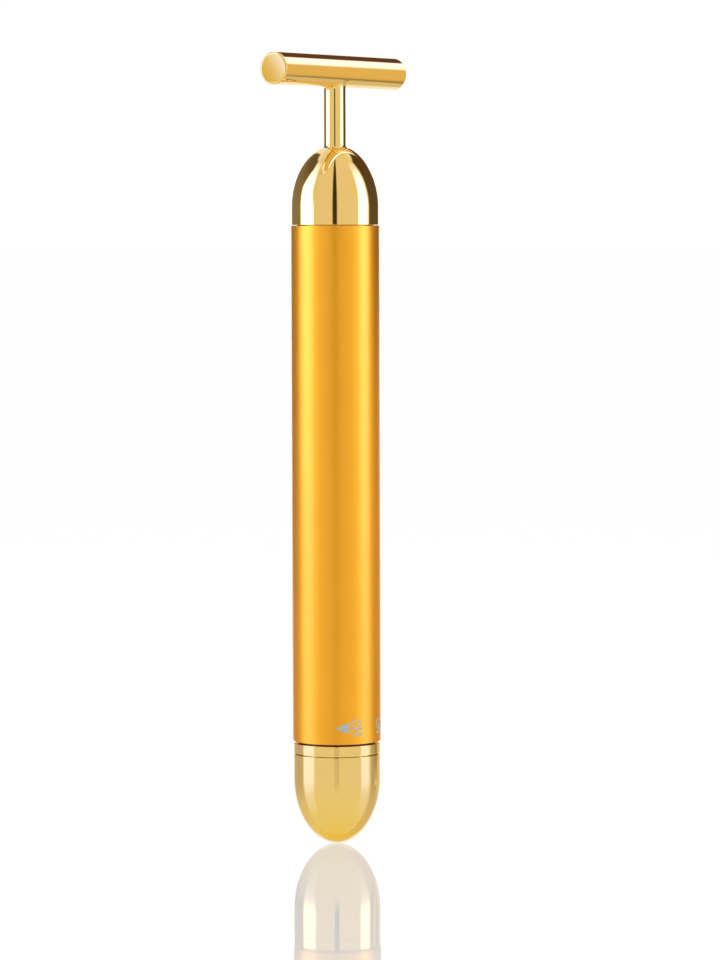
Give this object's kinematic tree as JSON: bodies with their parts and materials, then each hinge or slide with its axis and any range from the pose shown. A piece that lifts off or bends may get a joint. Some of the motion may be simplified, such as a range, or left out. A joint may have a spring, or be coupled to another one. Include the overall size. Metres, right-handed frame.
{
  "type": "facial massager",
  "caption": "Slim vibrating facial massager: a straight round handle with a domed head carrying a T-shaped roller bar, and a rounded end cap that is turned to switch it on.",
  "frame": {"origin": "middle of the grip: on the handle tube's axis, halfway along the tube", "axes": "+Z along the handle towards the T bar, X along the T bar, -Y is the side with the switch marks"},
  "size_m": [0.04, 0.017, 0.1524],
  "materials": {
    "satin_gold_aluminium": "satin gold anodised",
    "polished_gold_plate": "mirror polished, gold plated",
    "steel": "nickel plated",
    "contact_brass": "stamped",
    "copper": "enamelled and bare copper",
    "ferrite": "sintered",
    "white_nylon": "moulded",
    "black_plastic": "moulded",
    "black_rubber": "moulded",
    "red_lead": "extruded insulation",
    "black_lead": "extruded insulation",
    "cell_film": "shrunk film"
  },
  "bodies": {
    "handle": {"body_tube": "satin_gold_aluminium", "head_dome": "polished_gold_plate", "t_head": "polished_gold_plate", "dome_o_ring": "black_rubber", "head_washer": "steel", "head_nut": "steel", "contact_carrier": "white_nylon", "positive_contact": "contact_brass", "motor_cage": "white_nylon", "ground_clip": "contact_brass", "lead_positive": "red_lead", "lead_negative": "black_lead", "motor_can": "steel", "motor_end_bell": "white_nylon", "motor_front_bearing": "contact_brass", "motor_rear_bearing": "contact_brass", "brush_positive": "copper", "brush_negative": "copper", "magnet_right": "ferrite", "magnet_left": "ferrite"},
    "rotor": {"motor_shaft": "steel", "commutator": "copper", "armature_core": "steel", "armature_coil_1": "copper", "armature_coil_2": "copper", "armature_coil_3": "copper", "eccentric_weight": "steel"},
    "cell": {"cell_can": "steel", "cell_sleeve": "cell_film", "cell_seal": "black_plastic", "cell_negative_plate": "steel"},
    "spring": {"contact_spring": "steel", "spring_plate": "contact_brass"},
    "cap": {"end_cap": "polished_gold_plate", "cap_collar": "polished_gold_plate", "cap_plug": "black_plastic", "cap_o_ring": "black_rubber", "contact_strap": "contact_brass"}
  },
  "joints": [
    {"name": "motor_spin", "type": "hinge", "parent": "handle", "child": "rotor", "pos_m": [0, 0, 0.035], "axis": [0, 0, 1], "continuous": true},
    {"name": "cell_slide", "type": "slide", "parent": "handle", "child": "cell", "axis": [0, 0, -1], "range_m": [0, 0.065]},
    {"name": "cap_travel", "type": "slide", "parent": "cell", "child": "spring", "axis": [0, 0, 1], "range_m": [-0.006, 0.00017]},
    {"name": "cap_turn", "type": "hinge", "parent": "spring", "child": "cap", "pos_m": [0, 0, -0.05], "axis": [0, 0, 1], "range_deg": [-2160, 60]}
  ],
  "couplings": [
    {"joint": "cap_turn", "follows": "cap_travel", "rad_per_m": 6283.2}
  ]
}
